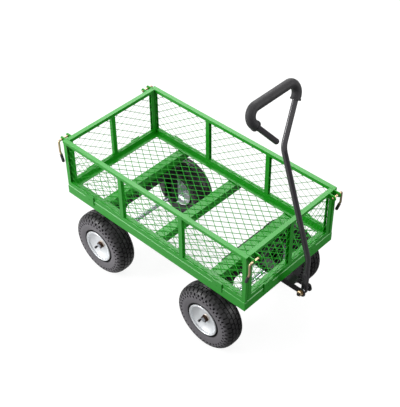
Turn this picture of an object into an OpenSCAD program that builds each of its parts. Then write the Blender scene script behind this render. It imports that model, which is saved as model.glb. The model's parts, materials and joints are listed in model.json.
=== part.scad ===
// Garden cart: a steel deck with an expanded-metal floor, four lift-off mesh
// panels pinned at the corners, four pneumatic wheels, a steered front axle
// and a pull handle with a D-shaped grip.
// X points forward (towards the handle), Y to the left and Z up, and Z = 0 is
// the ground. Lengths are in millimetres.

/* [Deck] */
// Length of the deck over its skirts
bed_l = 864; // [760:1:1100]
// Width of the deck over its skirts
bed_w = 457; // [430:1:520]
// Gap between the tyres and the underside of the deck
tyre_gap = 27; // [24:0.5:60]
// Depth of the skirt all round the deck
skirt_h = 37.5; // [30:0.5:42]
// Width of the ledge at the top of the skirt
ledge_w = 35.5; // [26:0.5:45]
// Thickness of the deck angle
deck_t = 2.5; // [2:0.5:3.5]

/* [Expanded metal] */
// Long way of one diamond
diamond_l = 45; // [36:1:60]
// Short way of one diamond in the floor
floor_diamond_w = 31; // [26:1:40]
// Short way of one diamond in the panels
panel_diamond_w = 32; // [26:1:40]
// Width of one strand
strand_w = 3; // [2:0.5:5]
// Thickness of the floor sheet
floor_mesh_t = 2.5; // [1.5:0.5:3.5]
// Thickness of the panel sheet
panel_mesh_t = 2.4; // [1.6:0.2:2.8]

/* [Cross-members] */
// Width of the rear cross-member
cross_rear_w = 32; // [24:1:40]
// Width of the middle cross-member
cross_mid_w = 38; // [24:1:50]
// Width of the front cross-member
cross_front_w = 42; // [30:1:50]
// Wall of the cross-members
cross_t = 2.5; // [2:0.5:3.5]

/* [Panels] */
// Height of the panels above the deck
panel_h = 204; // [150:1:260]
// Width of the top rail
rail_w = 17; // [17:0.5:24]
// Depth of the lip along the outer edge of the top rail
rail_lip_h = 12; // [10:0.5:20]
// Thickness of the panel angles
rail_t = 2; // [1.5:0.5:2.5]
// Height of the bottom rail
bottom_rail_h = 16; // [12:0.5:24]
// Width of a corner post on its outer face
post_w = 16; // [12:1:24]
// Width of an upright between the posts
upright_w = 17; // [12:1:24]
// Depth of the posts, the uprights and the bottom rail
post_d = 12; // [10:0.5:12]
// Gap between an end panel and each long panel
panel_gap = 1; // [0.5:0.1:3]

/* [Panel pockets] */
// Distance of a pocket on a long side from the middle of the deck
pocket_x = 312; // [250:1:350]
// Distance of a pocket on an end from the middle of the deck
pocket_y = 113; // [80:1:160]
// Width of a pocket plate
pocket_w = 42; // [30:1:60]
// Height of a pocket plate
pocket_h = 38; // [32:1:46]
// Thickness of a pocket plate
pocket_t = 2.5; // [2:0.5:4]
// Height that a pocket plate stands above the deck
pocket_rise = 18; // [14:1:22]

/* [Corner latches] */
// Diameter of a latch pin
pin_d = 8; // [6:0.5:9]
// Distance of a latch pin outside the end of the deck
pin_out = 18; // [16:0.5:24]
// Distance from the side of the deck to the inner latch lug
lug_in = 40; // [34:1:60]
// Thickness of the latch lugs
lug_t = 3; // [2:0.5:4]
// Radius of the round end of the latch lugs
lug_r = 10.5; // [8.5:0.5:12]
// Length of the hanging leg of a latch pin
pin_leg = 44; // [34:1:60]
// Length of the slanted tail of a latch pin
pin_tail = 42; // [30:1:50]
// Slant of the tail away from the vertical
pin_slant = 17; // [5:1:18]
// Diameter of the sleeve on the tail
sleeve_d = 11; // [10:0.5:12]
// Length of the sleeve
sleeve_l = 32; // [20:1:36]

/* [Wheels] */
// Diameter of the tyre
tyre_d = 254; // [230:1:260]
// Width of the tyre
tyre_w = 83; // [70:1:90]
// Distance from the middle of the cart to the middle of a tyre
wheel_y = 212; // [205:1:225]
// Diameter of the bead seat of the rim
rim_d = 114; // [100:1:130]
// Width of the rim over its lips
rim_w = 76; // [60:1:80]
// Height of the rim lip above the bead seat
rim_lip = 6; // [4:0.5:9]
// Thickness of the rim sheet
rim_t = 2; // [1.5:0.5:3]
// Outer diameter of the hub tube
hub_d = 32; // [28:1:40]
// Distance of the hub's outer end inside the rim's outer lip
hub_recess = 17; // [12:1:22]
// Distance of the disc's edge inside the rim's outer flange
disc_recess = 3; // [2:0.5:8]
// Radius of the rolled edge of the rim's flanges
curl_r = 2.2; // [1.5:0.1:3]
// Thickness of the tyre's wall
tyre_wall = 6; // [4:0.5:8]
// Tread blocks in one row round the tyre
tread_n = 38; // [24:1:44]
// Depth of the grooves between the tread blocks
tread_depth = 3.5; // [2:0.5:5]
// Width of the grooves between the tread blocks
tread_gap = 3; // [2:0.5:4]
// Diameter of the valve's base, which fills the hole in the disc
valve_d = 8; // [7:0.5:9]
// Diameter of the valve's stem
valve_stem_d = 6; // [5:0.5:7]
// Diameter of the valve's cap
valve_cap_d = 9; // [7:0.5:10]
// Distance of the valve from the axle
valve_r = 29; // [26:1:34]
// Turn of the valve round the axle, from forwards and up
valve_angle = 226; // [0:1:359]
// Length of the valve outside the hub's face
valve_l = 18; // [14:1:20]

/* [Axles] */
// Diameter of both axles
axle_d = 16; // [12:1:20]
// Distance of the rear axle behind the middle of the deck
rear_axle_x = 266; // [240:1:290]
// Distance of the front axle ahead of the middle of the deck
front_axle_x = 265; // [240:1:290]
// Width of the axle carriers along the cart
carrier_w = 44; // [44:1:60]
// Distance from the middle of the cart to the outside of a carrier leg
carrier_y = 150; // [140:1:158]
// Height of the beam along the top of a carrier
carrier_beam_h = 27; // [24:1:34]
// Width of a carrier leg
carrier_leg_w = 30; // [26:1:44]
// Thickness of the carrier sheet
carrier_t = 3; // [2.5:0.5:4]
// Distance of the carrier bolts from the middle of the cart
bolt_y = 80; // [50:1:92]
// Diameter of the carrier bolts
bolt_d = 8; // [6:1:10]

/* [Steering] */
// Diameter of the kingpin
kingpin_d = 16; // [12:1:20]
// Diameter of the thrust washer between the turntable plates
thrust_d = 70; // [50:1:90]
// Thickness of the thrust washer
thrust_t = 5; // [4:0.5:7]
// Length of the turntable plate along the cart
turntable_l = 96; // [80:1:120]
// Width of the turntable plate across the cart
turntable_w = 210; // [180:1:240]
// Thickness of the turntable plate
turntable_t = 4; // [3:0.5:6]
// Width of the tongue over its sides
tongue_w = 38; // [34:1:44]
// Thickness of the tongue sheet
tongue_t = 3; // [2.5:0.5:4]
// Depth of the sides of the tongue
tongue_side_h = 25; // [20:1:26]
// Distance from the front of the tongue's top to the handle pivot
tongue_gap = 32; // [28:1:40]

/* [Handle] */
// Distance of the handle pivot ahead of the middle of the deck
pivot_x = 498; // [480:1:520]
// Drop of the handle pivot below the top of the steering carrier
pivot_drop = 17; // [12:0.5:20]
// Radius of the round end of the ears that hold the pivot
ear_r = 17.5; // [15:0.5:20]
// Diameter of the pivot bolt
pivot_d = 10; // [8:0.5:12]
// Outer diameter of the bush on the pivot bolt
bush_d = 16; // [14:0.5:18]
// Outer diameter of the handle tube
tube_d = 19; // [16:0.5:22]
// Wall of the handle tube
tube_t = 1.5; // [1:0.25:2.5]
// Width of the flattened foot of the handle
foot_w = 25; // [22:0.5:27]
// Thickness of the flattened foot of the handle
foot_t = 12; // [10:0.5:14]
// Height of the lower bend above the pivot
lower_bend_z = 143; // [120:1:170]
// Distance of the lower bend ahead of the pivot
lower_bend_x = 4.5; // [0:0.5:8]
// Length of the shaft between the lower bend and the loop
shaft_l = 418; // [350:1:480]
// Lean of the shaft back from the vertical
shaft_lean = 18; // [10:0.5:18]
// Spread of each side of the loop from the line of the shaft
loop_spread = 38; // [30:1:45]
// Distance from the upper bend to the grip bar
loop_h = 174.5; // [150:0.5:200]
// Radius of the two corners of the loop
loop_r = 30; // [25:1:35]
// Radius of the bends at the ends of the shaft
shaft_bend_r = 55; // [40:1:70]
// Distance that the open end of the loop stops short of the upper bend
loop_gap = 38; // [34:1:60]
// Outer diameter of the padded grip
grip_d = 32; // [27:1:36]
// Distance from the upper bend to the ends of the grip, along the shaft line
grip_start = 116; // [100:1:118]

/* [Hidden] */
$fn = 48;

// Finishes
green = [0.13, 0.5, 0.12];
dark_steel = [0.2, 0.2, 0.21];
zinc = [0.75, 0.66, 0.4];
silver = [0.83, 0.84, 0.85];
black = [0.07, 0.07, 0.07];

// Clearances
fit = 0.06;    // round a shaft in its bore
slip = 0.3;    // between faces that move past each other
eps = 0.01;

// Deck
deck_bottom = tyre_d + tyre_gap;
deck_h = deck_bottom + skirt_h;
mesh_z = deck_h - deck_t - floor_mesh_t;
cross_h = mesh_z - deck_bottom;
cross_len = bed_w - 2 * deck_t;
floor_margin = 2;

// Panels
panel_top = deck_h + panel_h;
mesh_in = rail_t + post_d;
upright_x = bed_l / 6;
end_panel_l = bed_w - 2 * rail_w - 2 * panel_gap;
weld_d = 5;

// Latches
pin_x = bed_l / 2 + pin_out;
pin_z = panel_top - lug_r;
outer_lug_y = bed_w / 2 - mesh_in;
inner_lug_y = bed_w / 2 - lug_in;
pin_tip_y = inner_lug_y - lug_t - 4;
pin_turn_y = bed_w / 2 + 3;
pin_bend_r = 7;
tail_tangent = pin_bend_r * tan(pin_slant / 2);

// Wheels and axles
wheel_r = tyre_d / 2;
tyre_mid = (tyre_d + rim_d) / 4;
crown_n = 2.7;
bead_y = 0.7 * tyre_w / 2;
bead_w = 10;
tread_end = 0.93;
tread_edges = [0, 0.18, 0.52, 0.77, tread_end, 0.985];
washer_t = 3;
hub_face = rim_w / 2 - hub_recess;
disc_edge = rim_w / 2 - disc_recess;
hub_out = wheel_y + hub_face;
hub_in = carrier_y + washer_t + slip;
nut_t = 8;
axle_end = hub_out + slip + washer_t + nut_t + 4;
axle_nut_af = 24;

// Steering
turntable_z = deck_bottom - turntable_t;
steer_z = turntable_z - thrust_t;
pivot_z = steer_z - pivot_drop;
kingpin_head = 10;
pivot_washer_t = 2;
pivot_washer_d = 2.2 * pivot_d;
pivot_head_t = 8;
pivot_nut_t = 9;
pivot_af = 1.7 * pivot_d;
leg_below = 12;

// Handle
ear_in = tongue_w / 2 - tongue_t;
foot_lean = atan2(lower_bend_x, lower_bend_z);
foot_l = norm([lower_bend_x, lower_bend_z]);
foot_flat_l = 72;
swage_l = 18;
foot_l0 = foot_flat_l + swage_l;
lower_tangent = shaft_bend_r * tan((foot_lean + shaft_lean) / 2);
upper_tangent = shaft_bend_r * tan(loop_spread / 2);
corner_tangent = loop_r * tan((90 + loop_spread) / 2);
corner_y = loop_h * tan(loop_spread);
loop_side_l = loop_h / cos(loop_spread);
origin_shift = (pivot_x + ear_r - pin_x - lug_r) / 2;

// ---------------------------------------------------------------- helpers

// Puts a piece drawn about the middle of the deck where the cart stands.
module placed() {
    translate([-origin_shift, 0, 0]) children();
}

// A round bar along +Z from the origin. Each step is a straight length and,
// where another follows, a bend: its angle, its centre-line radius and the
// side that it turns to, as an angle round the bar from +X. The straights
// reach into the bends, which are a hair thicker.
module bent_bar(steps, d, i = 0) {
    step = steps[i];
    bends = len(step) > 1;
    lap = 0.4;
    below = i > 0 ? lap : 0;
    translate([0, 0, -below]) cylinder(d = d, h = step[0] + below + (bends ? lap : 0));
    if (bends) translate([0, 0, step[0]]) rotate([0, 0, step[3]]) {
        translate([step[2], 0, 0]) rotate([90, 0, 180])
            rotate_extrude(angle = step[1], $fn = 96) translate([step[2], 0]) circle(d = d + 0.1);
        translate([step[2], 0, 0]) rotate([0, step[1], 0]) translate([-step[2], 0, 0])
            bent_bar(steps, d, i + 1);
    }
}

// A cylinder along Y from y0 to y1
module across(y0, y1, d) {
    translate([0, y1, 0]) rotate([90, 0, 0]) cylinder(d = d, h = y1 - y0);
}

// A hexagon nut along Y from y0 to y1
module hex_across(y0, y1, across_flats) {
    translate([0, y1, 0]) rotate([90, 0, 0])
        cylinder(d = across_flats / cos(30), h = y1 - y0, $fn = 6);
}

// Revolves an outline of [radius, distance along the axle] about Y
module revolved(outline) {
    rotate([-90, 0, 0]) rotate_extrude($fn = 96) polygon(outline);
}

// Mirrors a piece from the left side of the cart to the right when side is -1
module sided(side) {
    if (side > 0) children();
    else mirror([0, 1, 0]) children();
}

// Expanded metal of l by w in the XY plane from its middle, with diamonds of
// long way along X
module expanded_metal(l, w, diamond_w, t) {
    half_l = diamond_l / 2;
    half_w = diamond_w / 2;
    side = norm([half_l, half_w]);
    inset_l = strand_w / 2 * side / half_w;
    inset_w = strand_w / 2 * side / half_l;
    hole = [[half_l - inset_l, 0], [0, half_w - inset_w], [inset_l - half_l, 0], [0, inset_w - half_w]];
    across_n = ceil(l / diamond_l) + 1;
    up_n = ceil(w / diamond_w) + 1;
    linear_extrude(t) difference() {
        square([l, w], center = true);
        for (i = [-across_n : across_n], j = [-up_n : up_n])
            if ((i + j) % 2 == 0
                && abs(i) * half_l < l / 2 + half_l - inset_l - eps
                && abs(j) * half_w < w / 2 + half_w - inset_w - eps)
                translate([i * half_l, j * half_w]) polygon(hole);
    }
}

// ---------------------------------------------------------------- deck

// One mitred length of the deck angle, its skirt facing -Y, along X
module deck_angle(l) {
    intersection() {
        union() {
            translate([-l / 2, 0, deck_h - deck_t]) cube([l, ledge_w, deck_t]);
            translate([-l / 2, 0, deck_bottom]) cube([l, deck_t, skirt_h]);
        }
        translate([0, 0, deck_bottom - 1]) linear_extrude(skirt_h + 2)
            polygon([[-l / 2, 0], [l / 2, 0], [l / 2 - ledge_w, ledge_w], [ledge_w - l / 2, ledge_w]]);
    }
}

// One of the four sides of the deck or of its panels: 0 right, 1 front,
// 2 left and 3 rear, each drawn along X with its outside facing -Y
module on_side(i) {
    out = i % 2 == 0 ? bed_w / 2 : bed_l / 2;
    rotate([0, 0, 90 * i]) translate([0, -out, 0]) children();
}

module deck_rail(i) {
    color(green) placed() on_side(i) deck_angle(i % 2 == 0 ? bed_l : bed_w);
}

module floor_mesh() {
    color(green) placed() translate([0, 0, mesh_z])
        expanded_metal(bed_l - 2 * (deck_t + floor_margin), bed_w - 2 * (deck_t + floor_margin),
            floor_diamond_w, floor_mesh_t);
}

// A pressed channel across the deck, open below, between the skirts
module cross_channel(w) {
    translate([-w / 2, -cross_len / 2, deck_bottom]) difference() {
        cube([w, cross_len, cross_h]);
        translate([cross_t, -1, -1]) cube([w - 2 * cross_t, cross_len + 2, cross_h + 1 - cross_t]);
    }
}

// A box section across the deck, with holes in its floor for the carrier bolts
module cross_box(w) {
    difference() {
        translate([-w / 2, -cross_len / 2, deck_bottom]) difference() {
            cube([w, cross_len, cross_h]);
            translate([cross_t, -1, cross_t])
                cube([w - 2 * cross_t, cross_len + 2, cross_h - 2 * cross_t]);
        }
        carrier_bolt_places() translate([0, 0, deck_bottom - 1]) cylinder(d = bolt_d, h = cross_t + 2);
    }
}

// The two bolts that hold an axle carrier or the turntable to its cross-member
module carrier_bolt_places() {
    for (y = [-bolt_y, bolt_y]) translate([0, y, 0]) children();
}

module cross_member_rear() {
    color(green) placed() translate([-rear_axle_x, 0, 0]) cross_box(cross_rear_w);
}

module cross_member_middle() {
    color(green) placed() cross_channel(cross_mid_w);
}

module cross_member_front() {
    color(green) placed() translate([front_axle_x, 0, 0]) difference() {
        cross_box(cross_front_w);
        translate([0, 0, deck_bottom - 1]) cylinder(d = kingpin_d, h = cross_t + 2);
    }
}

// Eight plates on the skirt that hold the panels' tabs from outside, each
// with the dimple of its plug weld
module panel_pockets() {
    color(green) placed() pocket_places() translate([0, 0, deck_h + pocket_rise - pocket_h]) difference() {
        translate([-pocket_w / 2, -pocket_t, 0]) cube([pocket_w, pocket_t, pocket_h]);
        translate([0, -pocket_t, pocket_h / 2]) across(-1, pocket_t / 2, weld_d);
    }
}

module pocket_places() {
    for (i = [0 : 3], s = [-1, 1])
        on_side(i) translate([s * (i % 2 == 0 ? pocket_x : pocket_y), 0, 0]) children();
}

// ---------------------------------------------------------------- panels

// A vertical angle that stands from the deck to the top rail. Its outer face
// is w wide from x and its leg runs inwards along the edge that leg_x names.
module panel_post(x, w, leg_x) {
    translate([x, rail_t, deck_h]) cube([w, rail_t, panel_h - rail_t]);
    translate([leg_x, rail_t, deck_h]) cube([rail_t, post_d, panel_h - rail_t]);
}

// The welded frame of a panel of length l, its outside facing -Y
module panel_frame(l, uprights, pocket_at) {
    translate([-l / 2, 0, panel_top - rail_t]) cube([l, rail_w, rail_t]);
    translate([-l / 2, 0, panel_top - rail_lip_h]) cube([l, rail_t, rail_lip_h]);
    translate([-l / 2, rail_t, deck_h]) cube([l, rail_t, bottom_rail_h]);
    translate([-l / 2, rail_t, deck_h + bottom_rail_h - rail_t]) cube([l, post_d, rail_t]);
    panel_post(-l / 2, post_w, -l / 2);
    panel_post(l / 2 - post_w, post_w, l / 2 - rail_t);
    for (x = uprights) panel_post(x - upright_w / 2, upright_w, x + upright_w / 2 - rail_t);
    for (s = [-1, 1]) translate([s * pocket_at - pocket_w / 2 + 2, 0, deck_h])
        cube([pocket_w - 4, rail_t, min(bottom_rail_h, pocket_rise)]);
}

// A latch lug: a plate across Y with a round end about the pin
module latch_lug(x0, y) {
    translate([0, y, pin_z]) difference() {
        union() {
            translate([x0, 0, -lug_r]) cube([pin_x - x0, lug_t, 2 * lug_r]);
            translate([pin_x, 0, 0]) across(0, lug_t, 2 * lug_r);
        }
        translate([pin_x, -1, 0]) across(0, lug_t + 2, pin_d + 2 * fit);
    }
}

module long_panel_frame(i) {
    color(green) placed() {
        on_side(i) panel_frame(bed_l, [-upright_x, upright_x], pocket_x);
        for (end = [0, 1]) mirror([end, 0, 0]) sided(i == 2 ? 1 : -1)
            latch_lug(bed_l / 2 - rail_t, outer_lug_y - lug_t);
    }
}

module end_panel_frame(i) {
    color(green) placed() {
        on_side(i) panel_frame(end_panel_l, [0], pocket_y);
        for (side = [-1, 1]) mirror([i == 1 ? 0 : 1, 0, 0]) sided(side)
            latch_lug(bed_l / 2, inner_lug_y - lug_t);
    }
}

// The mesh of a panel of length l, welded to the inside of its frame
module panel_mesh(i, l) {
    mesh_h = panel_h - rail_t - bottom_rail_h + rail_t;
    color(green) placed() on_side(i)
        translate([0, mesh_in + panel_mesh_t, deck_h + bottom_rail_h - rail_t + mesh_h / 2])
            rotate([90, 0, 0]) expanded_metal(l - 2 * rail_t, mesh_h, panel_diamond_w, panel_mesh_t);
}

// ---------------------------------------------------------------- axles

// A folded axle carrier: a beam with a leg at each end, open inside and below,
// with its top at z
module axle_carrier(z) {
    leg_bottom = wheel_r - axle_d / 2 - leg_below;
    slope = 12;
    difference() {
        rotate([90, 0, 90]) translate([0, 0, -carrier_w / 2]) linear_extrude(carrier_w)
            carrier_outline(z, leg_bottom, slope, 0);
        rotate([90, 0, 90]) translate([0, 0, -carrier_w / 2 + carrier_t])
            linear_extrude(carrier_w - 2 * carrier_t)
            carrier_outline(z - carrier_t, leg_bottom - 1, slope, carrier_t);
        translate([0, 0, wheel_r]) across(-carrier_y - 1, carrier_y + 1, axle_d);
    }
    // bosses that the axle is welded into
    for (s = [-1, 1]) sided(s) translate([0, 0, wheel_r]) difference() {
        across(carrier_y - carrier_leg_w, carrier_y - carrier_t, axle_d + 10);
        across(carrier_y - carrier_leg_w - 1, carrier_y, axle_d);
    }
}

// The outline of a carrier seen along the cart. inset thins it from outside.
module carrier_outline(z, leg_bottom, slope, inset) {
    out = carrier_y - inset;
    in = carrier_y - carrier_leg_w;
    beam = z - carrier_beam_h + inset;
    polygon([
        [-out, leg_bottom], [-out, z - slope], [slope - out, z], [out - slope, z],
        [out, z - slope], [out, leg_bottom], [in, leg_bottom], [in, beam - slope],
        [in - slope, beam], [slope - in, beam], [-in, beam - slope], [-in, leg_bottom]
    ]);
}

module rear_axle_carrier() {
    color(dark_steel) placed() translate([-rear_axle_x, 0, 0]) difference() {
        axle_carrier(deck_bottom);
        carrier_bolt_places() translate([0, 0, deck_bottom - carrier_t - 1])
            cylinder(d = bolt_d, h = carrier_t + 2);
    }
}

// A straight axle from nut to nut
module axle() {
    translate([0, 0, wheel_r]) across(-axle_end, axle_end, axle_d);
}

// Washers inside and outside each wheel, and a nut on each end of the axle
module axle_nuts() {
    for (s = [-1, 1]) sided(s) translate([0, 0, wheel_r]) {
        difference() {
            across(carrier_y, carrier_y + washer_t, 1.7 * axle_d);
            across(carrier_y - 1, carrier_y + washer_t + 1, axle_d);
        }
        difference() {
            across(hub_out + slip, hub_out + slip + washer_t, 1.7 * axle_d);
            across(hub_out, hub_out + slip + washer_t + 1, axle_d);
        }
        difference() {
            hex_across(hub_out + slip + washer_t, hub_out + slip + washer_t + nut_t, axle_nut_af);
            across(hub_out, hub_out + slip + washer_t + nut_t + 1, axle_d);
        }
    }
}

module rear_axle() {
    color(silver) placed() translate([-rear_axle_x, 0, 0]) axle();
}

module rear_axle_nuts() {
    color(zinc) placed() translate([-rear_axle_x, 0, 0]) axle_nuts();
}

module front_axle() {
    color(silver) placed() translate([front_axle_x, 0, 0]) axle();
}

module front_axle_nuts() {
    color(zinc) placed() translate([front_axle_x, 0, 0]) axle_nuts();
}

// The bolts that hold the rear carrier and the turntable plate to the deck
module carrier_bolts() {
    color(zinc) placed() {
        translate([-rear_axle_x, 0, 0]) carrier_bolt_places() carrier_bolt(deck_bottom - carrier_t);
        translate([front_axle_x, 0, 0]) carrier_bolt_places() carrier_bolt(turntable_z);
    }
}

// A bolt with its head below z and its nut on the floor of the cross-member
module carrier_bolt(z) {
    head_t = bolt_d / 2;
    nut_h = 0.85 * bolt_d;
    nut_z = deck_bottom + cross_t;
    translate([0, 0, z - head_t]) cylinder(d = 2 * bolt_d, h = head_t, $fn = 6);
    translate([0, 0, z]) cylinder(d = bolt_d, h = nut_z + nut_h + 2 - z);
    translate([0, 0, nut_z]) cylinder(d = 1.9 * bolt_d, h = nut_h, $fn = 6);
}

// ---------------------------------------------------------------- steering

module turntable_plate() {
    color(dark_steel) placed() translate([front_axle_x, 0, turntable_z]) difference() {
        translate([-turntable_l / 2, -turntable_w / 2, 0]) cube([turntable_l, turntable_w, turntable_t]);
        translate([0, 0, -1]) cylinder(d = kingpin_d, h = turntable_t + 2);
        carrier_bolt_places() translate([0, 0, -1]) cylinder(d = bolt_d, h = turntable_t + 2);
    }
}

// The washer that the turntable slides on, resting on the steering carrier
module thrust_washer() {
    color(silver) placed() translate([front_axle_x, 0, steer_z]) difference() {
        cylinder(d = thrust_d, h = thrust_t - slip);
        translate([0, 0, -1]) cylinder(d = kingpin_d + 2 * fit, h = thrust_t + 2);
    }
}

// The pin that the front carrier turns on, held in the front cross-member
module kingpin() {
    head = 1.6 * kingpin_d;
    color(zinc) placed() translate([front_axle_x, 0, 0]) {
        translate([0, 0, steer_z - carrier_t - 4])
            cylinder(d = kingpin_d, h = deck_bottom + cross_t + kingpin_head - steer_z + carrier_t + 4);
        translate([0, 0, deck_bottom + cross_t]) cylinder(d = head, h = kingpin_head, $fn = 6);
        translate([0, 0, steer_z - carrier_t - kingpin_head - slip])
            cylinder(d = head, h = kingpin_head, $fn = 6);
    }
}

module steering_carrier() {
    color(dark_steel) placed() translate([front_axle_x, 0, 0]) difference() {
        axle_carrier(steer_z);
        translate([0, 0, steer_z - carrier_t - 1]) cylinder(d = kingpin_d + 2 * fit, h = carrier_t + 2);
    }
}

// The tongue: a channel open below that ends in two ears round the pivot
module tongue() {
    back = front_axle_x + carrier_w / 2;
    front = pivot_x - tongue_gap;
    top = steer_z - 1;
    color(dark_steel) placed() difference() {
        union() {
            translate([back, -tongue_w / 2, top - tongue_side_h])
                cube([front - back, tongue_w, tongue_side_h]);
            for (y = [-tongue_w / 2, ear_in]) {
                translate([pivot_x, y, pivot_z]) across(0, tongue_t, 2 * ear_r);
                translate([front, y, top - tongue_side_h]) cube([pivot_x - front, tongue_t, tongue_side_h]);
            }
        }
        translate([back - 1, -ear_in, top - tongue_side_h - 1])
            cube([front - back + 2, 2 * ear_in, tongue_side_h + 1 - tongue_t]);
        translate([pivot_x, -tongue_w / 2 - 1, pivot_z]) across(0, tongue_w + 2, pivot_d);
    }
}

module pivot_bolt() {
    color(dark_steel) placed() translate([pivot_x, 0, pivot_z]) {
        across(-tongue_w / 2 - pivot_nut_t - pivot_washer_t - 5, tongue_w / 2, pivot_d);
        across(tongue_w / 2, tongue_w / 2 + pivot_washer_t, pivot_washer_d);
        hex_across(tongue_w / 2 + pivot_washer_t, tongue_w / 2 + pivot_head_t, pivot_af);
    }
}

module pivot_nut() {
    color(zinc) placed() translate([pivot_x, 0, pivot_z]) difference() {
        union() {
            across(-tongue_w / 2 - pivot_washer_t, -tongue_w / 2, pivot_washer_d);
            hex_across(-tongue_w / 2 - pivot_washer_t - pivot_nut_t, -tongue_w / 2 - pivot_washer_t, pivot_af);
        }
        across(-tongue_w / 2 - pivot_washer_t - pivot_nut_t - 1, -tongue_w / 2 + 1, pivot_d);
    }
}

// ---------------------------------------------------------------- handle

// Stands a piece drawn along +Z from the pivot up along the foot.
module at_foot() {
    placed() translate([pivot_x, 0, pivot_z]) rotate([0, foot_lean, 0]) children();
}

// Stands a piece drawn along +Z from the upper bend up along the shaft.
module at_upper_bend() {
    at_foot() translate([0, 0, foot_l]) rotate([0, -foot_lean - shaft_lean, 0])
        translate([0, 0, shaft_l]) children();
}

// Lays a piece drawn along +Z along a side of the loop, from the upper bend.
module along_loop(side) {
    at_upper_bend() rotate([-side * loop_spread, 0, 0]) children();
}

// The flattened foot: a bar with round edges and a round lower end
module handle_foot() {
    difference() {
        translate([0, 0, -foot_w / 2]) foot_section(foot_w / 2 + foot_flat_l);
        difference() {
            translate([-foot_w, -foot_w, -foot_w]) cube([2 * foot_w, 2 * foot_w, foot_w]);
            across(-2 * foot_w, 2 * foot_w, foot_w);
        }
    }
    // the swage from the foot up to the round tube
    hull() {
        translate([0, 0, foot_flat_l - 1]) foot_section(eps, 0.1, $fn = 32);
        translate([0, 0, foot_l0 - eps]) cylinder(d = tube_d + 0.4, h = eps);
    }
}

// The foot's cross-section, drawn in by inset
module foot_section(l, inset = 0) {
    linear_extrude(l) {
        square([foot_w - foot_t, foot_t - 2 * inset], center = true);
        for (s = [-1, 1]) translate([s * (foot_w - foot_t) / 2, 0]) circle(d = foot_t - 2 * inset);
    }
}

// The steps of the handle's tube, from a distance below the swage's top.
// Extra lengthens its open end.
function handle_steps(below, extra) = [
    [foot_l - foot_l0 - lower_tangent + below, foot_lean + shaft_lean, shaft_bend_r, 180],
    [shaft_l - lower_tangent - upper_tangent, loop_spread, shaft_bend_r, -90],
    [loop_side_l - upper_tangent - corner_tangent, 90 + loop_spread, loop_r, 180],
    [2 * corner_y - 2 * corner_tangent, 90 + loop_spread, loop_r, 0],
    [loop_side_l - corner_tangent - loop_gap + extra]
];

module handle_tube() {
    color(dark_steel) difference() {
        at_foot() {
            handle_foot();
            translate([0, 0, foot_l0 - 5]) bent_bar(handle_steps(5, 0), tube_d);
        }
        at_foot() translate([0, 0, foot_l0]) bent_bar(handle_steps(0, 1), tube_d - 2 * tube_t);
        at_foot() across(-foot_t, foot_t, bush_d);
    }
}

module handle_bush() {
    color(silver) at_foot() difference() {
        across(slip - ear_in, ear_in - slip, bush_d);
        across(-ear_in - 1, ear_in + 1, pivot_d + 2 * fit);
    }
}

// The steps of the grip. Extra lengthens both of its ends.
grip_side_l = loop_side_l - grip_start / cos(loop_spread) - corner_tangent;
function grip_steps(extra) = [
    [grip_side_l + extra, 90 + loop_spread, loop_r, -90],
    [2 * corner_y - 2 * corner_tangent, 90 + loop_spread, loop_r, 0],
    [grip_side_l + extra]
];

// The padded grip, with a raised lip at each end
module handle_grip() {
    lip_l = 5;
    start = grip_start / cos(loop_spread);
    color(black) difference() {
        union() {
            along_loop(1) translate([0, 0, start]) bent_bar(grip_steps(0), grip_d);
            for (side = [-1, 1]) along_loop(side) translate([0, 0, start])
                cylinder(d = grip_d + 3, h = lip_l);
        }
        along_loop(1) translate([0, 0, start - 1]) bent_bar(grip_steps(1), tube_d);
    }
}

// The cap in the open end of the tube
module handle_end_cap() {
    plug_l = 8;
    head_l = 3;
    color(black) along_loop(-1) translate([0, 0, loop_gap]) {
        cylinder(d = tube_d - 2 * tube_t, h = plug_l);
        translate([0, 0, -head_l]) cylinder(d1 = tube_d - 3, d2 = tube_d, h = head_l);
    }
}

// ---------------------------------------------------------------- latches

// Places a piece of the front left latch at one of the four corners
module at_corner(end, side) {
    placed() mirror([end > 0 ? 0 : 1, 0, 0]) sided(side) children();
}

// Turns a piece drawn along +Z so that it runs outwards from the pin's tip
module from_pin_tip() {
    translate([pin_x, pin_tip_y, pin_z]) rotate([-90, 0, 0]) children();
}

module latch_pin(end, side) {
    tip_l = 1.5;
    color(zinc) at_corner(end, side) from_pin_tip() {
        cylinder(d1 = pin_d - 2 * tip_l, d2 = pin_d, h = tip_l);
        translate([0, 0, tip_l]) bent_bar([
            [pin_turn_y - pin_tip_y - tip_l - pin_bend_r, 90, pin_bend_r, 90],
            [pin_leg - pin_bend_r - tail_tangent, pin_slant, pin_bend_r, 90],
            [pin_tail - tail_tangent]
        ], pin_d);
    }
}

// The sleeve over the pin's tail, with a closed end
module latch_sleeve(end, side) {
    end_l = 3;
    color(black) at_corner(end, side) translate([pin_x, pin_turn_y, pin_z - pin_leg])
        rotate([0, 180 + pin_slant, 0]) difference() {
            union() {
                translate([0, 0, pin_tail + end_l - sleeve_l]) cylinder(d = sleeve_d, h = sleeve_l - 2);
                translate([0, 0, pin_tail + end_l - 2]) cylinder(d1 = sleeve_d, d2 = sleeve_d - 3, h = 2);
            }
            cylinder(d = pin_d, h = pin_tail);
        }
}

// ---------------------------------------------------------------- wheels

// Radius of the tyre's crown at a distance y from its middle: the upper half of
// a rounded square, |x|^n + |y|^n = 1. inset draws it in on every side.
function crown_r(y, inset = 0) =
    tyre_mid + (wheel_r - inset - tyre_mid)
        * pow(1 - pow(min(1, abs(y) / (tyre_w / 2 - inset)), crown_n), 1 / crown_n);

// Distance of the flank from the tyre's middle at a radius: it falls from the
// widest place to the bead. inset draws it in.
function flank_y(r, inset = 0) =
    tyre_w / 2 - inset - (tyre_w / 2 - bead_y) * pow((tyre_mid - r) / (tyre_mid - rim_d / 2), 3);

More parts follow.
